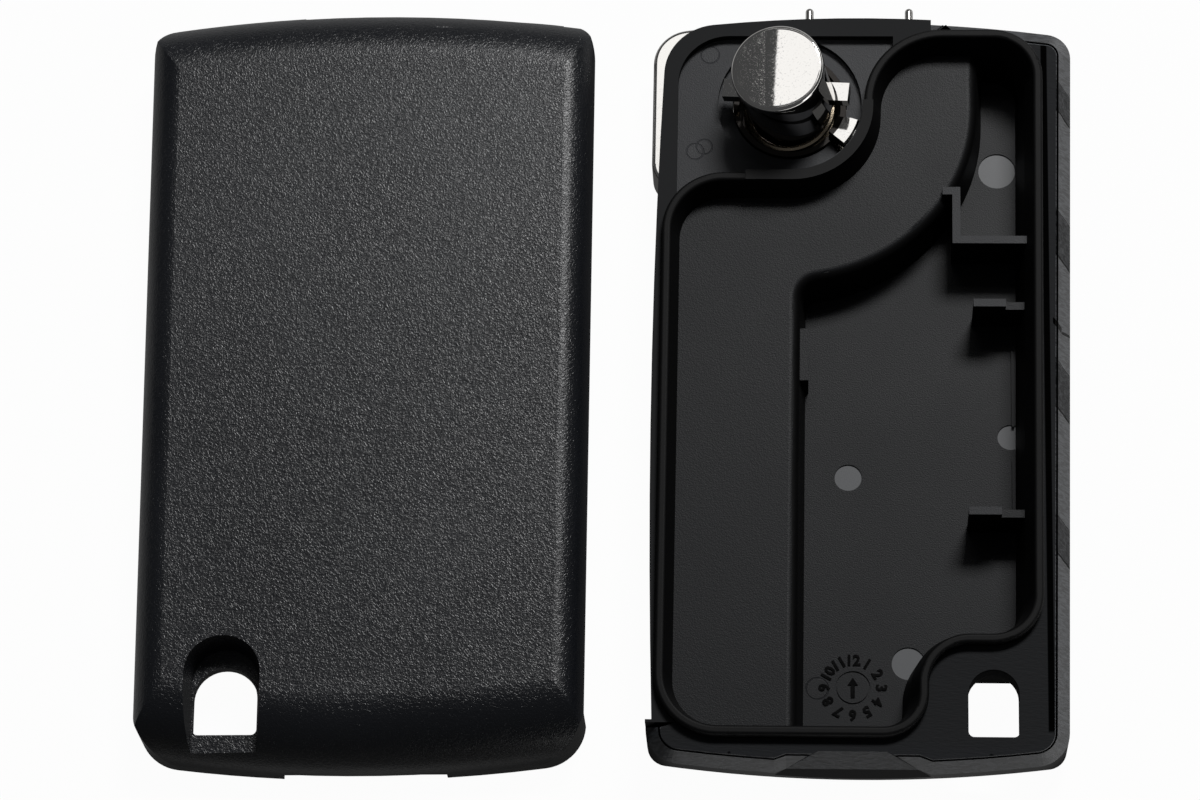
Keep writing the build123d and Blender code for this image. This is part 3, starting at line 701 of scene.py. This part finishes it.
def cut_notch(piece):
    """Cuts the sloping notch, where a coin parts the halves, out of the flange."""
    back = PRY_REACH - HALF_LENGTH
    front = -HALF_LENGTH - PRY_REACH
    inner = PRY_INNER_WIDTH / 2
    outer = PRY_WIDTH - inner
    drop = 2 * PRY_DEPTH
    plan = ((-inner, back, 0), (-outer, front, drop), (outer, front, drop), (inner, back, 0))
    shape = bmesh.new()
    low = [shape.verts.new((PRY_X + x, y, FLANGE_Z - down)) for x, y, down in plan]
    high = [shape.verts.new((PRY_X + x, y, RIB_Z + 1)) for x, y, _ in plan]
    shape.faces.new(low)
    shape.faces.new(list(reversed(high)))
    for i in range(len(plan)):
        j = (i + 1) % len(plan)
        shape.faces.new((low[i], high[i], high[j], low[j]))
    bmesh.ops.recalc_face_normals(shape, faces=shape.faces)
    mesh = as_mesh("notch_cutter", shape)
    mesh.transform(chassis_matrix())
    cutter = as_piece("notch_cutter", mesh)
    boolean = piece.modifiers.new("notch", "BOOLEAN")
    boolean.object = cutter
    boolean.operation = "DIFFERENCE"
    boolean.solver = "EXACT"
    piece.data = evaluated_mesh(piece)
    piece.modifiers.clear()
    for face in piece.data.polygons:
        if NOTCH_FLOOR[0] < face.normal.z < NOTCH_FLOOR[1]:
            face.material_index = WORN_SLOT
    bpy.data.objects.remove(cutter)
    bpy.data.meshes.remove(mesh)


def coil(material):
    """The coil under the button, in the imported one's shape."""
    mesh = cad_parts["button_spring"].data.copy()
    mesh.materials.clear()
    piece = as_piece("button_coil", mesh, material)
    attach(piece, "head")
    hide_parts("button_spring")
    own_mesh(piece)


def build_camera():
    """The photograph's view."""
    back = Vector((CAMERA_SIDE, -math.tan(CAMERA_TILT), 1.0)).normalized()
    right = Vector((0, 1, 0)).cross(back).normalized()
    up = back.cross(right)
    c, s = math.cos(CAMERA_ROLL), math.sin(CAMERA_ROLL)
    rolled_right = right * c + up * s
    rolled_up = up * c - right * s
    data = bpy.data.cameras.new("camera")
    data.sensor_fit = "HORIZONTAL"
    data.sensor_width = SENSOR_MM
    data.lens = FOCAL_PIXELS / IMAGE_WIDTH * SENSOR_MM
    data.clip_start = CLIP_START * MM
    camera = bpy.data.objects.new("camera", data)
    bpy.context.scene.collection.objects.link(camera)
    turn = Matrix((rolled_right, rolled_up, back)).transposed().to_4x4()
    place = (Vector(CAMERA_TARGET) + back * CAMERA_DISTANCE) * MM
    camera.matrix_world = Matrix.Translation(place) @ turn
    bpy.context.scene.camera = camera


def soft_light(name, left, right, near, far, power):
    """A soft light that faces straight down over the back of the table."""
    data = bpy.data.lights.new(name, "AREA")
    data.shape = "RECTANGLE"
    data.size = right - left
    data.size_y = far - near
    data.energy = power
    light = bpy.data.objects.new(name, data)
    bpy.context.scene.collection.objects.link(light)
    light.location = ((left + right) / 2, (near + far) / 2, LIGHT_HEIGHT)


def stage_plane(name, depth, material):
    """A wide level sheet under the object."""
    half = STAGE_HALF
    mesh = bpy.data.meshes.new(name)
    corners = [(-half, -half, 0), (half, -half, 0), (half, half, 0), (-half, half, 0)]
    mesh.from_pydata(corners, [], [(0, 1, 2, 3)])
    sheet = as_piece(name, mesh, material)
    sheet.location = (0, 0, -depth * MM)
    return sheet


def pale_floor():
    """The white floor that the camera sees."""
    n = Nodes("pale_floor")
    n.set(Base_Color=FLOOR_BASE, Roughness=0.9, Specular_IOR_Level=0.0)
    n.set(Emission_Color=WHITE, Emission_Strength=FLOOR_GLOW)
    floor = stage_plane("floor", FLOOR_DEPTH, n.material)
    floor.visible_glossy = False
    floor.visible_diffuse = False


def grey_table():
    """A grey table that only reflections see, with painted light to the right and before the chassis, and
    painted shadow under the object and before the cover.
    """
    n = Nodes("table_tone")
    x, y, _ = n.axes(n.node("ShaderNodeTexCoord").outputs["Object"])
    right = n.ramp(x, *RIGHT_BORDER)
    front = n.ramp(y, *FRONT_BORDER)
    before_chassis = n.times(front, n.ramp(x, *HALVES_BORDER))
    before_cover = n.times(front, n.ramp(x, *reversed(HALVES_BORDER)))
    across, along = [n.between(at, -half, half, UNDER_SOFT) for at, half in zip((x, y), UNDER_HALF)]
    under = n.times(across, along)
    glow = n.add(TABLE_GLOW, n.times(right, RIGHT_GLOW), n.times(before_chassis, CHASSIS_FRONT_GLOW))
    glow = n.add(glow, n.times(under, UNDER_SHADOW_GLOW), n.times(before_cover, COVER_FRONT_SHADOW_GLOW))
    n.set(Base_Color=BLACK, Roughness=1.0, Specular_IOR_Level=0.0)
    n.set(Emission_Color=WHITE, Emission_Strength=glow)
    table = stage_plane("table", TABLE_DEPTH, n.material)
    table.visible_camera = False
    table.visible_diffuse = False
    table.visible_shadow = False


def build_stage():
    """Floor, table, soft lights and a dim surround."""
    pale_floor()
    grey_table()
    for light in LIGHTS:
        soft_light(*light)
    world = bpy.data.worlds.new("surround")
    world.use_nodes = True
    background = world.node_tree.nodes["Background"]
    background.inputs["Color"].default_value = SURROUND
    background.inputs["Strength"].default_value = SURROUND_STRENGTH
    bpy.context.scene.world = world
    bpy.context.scene.view_settings.view_transform = "Standard"


dress("back_cover", cover_plastic())
dress("chassis", chassis_plastic())
dress("flip_head", chrome("head_plate", roughness=0.07, wear=0.10, dark_hub=True))
dress("push_button", chrome("button_plate", roughness=0.02, wear=0.07, disc=True))
peg_plate = chrome("peg_plate", roughness=0.16, wear=0.12)
for peg in ("seat_peg_left", "seat_peg_right"):
    dress(peg, peg_plate)
wire = spring_wire()
dress("button_spring", wire)
coil(wire)
date_wheel(number_plastic())
flange_rim(
    flange_plastic("flange_plastic", FLANGE_GLOSS, WORN_FLANGE),
    flange_plastic("worn_bevel", BEVEL_GLOSS, WORN_BEVEL),
)

build_camera()
build_stage()
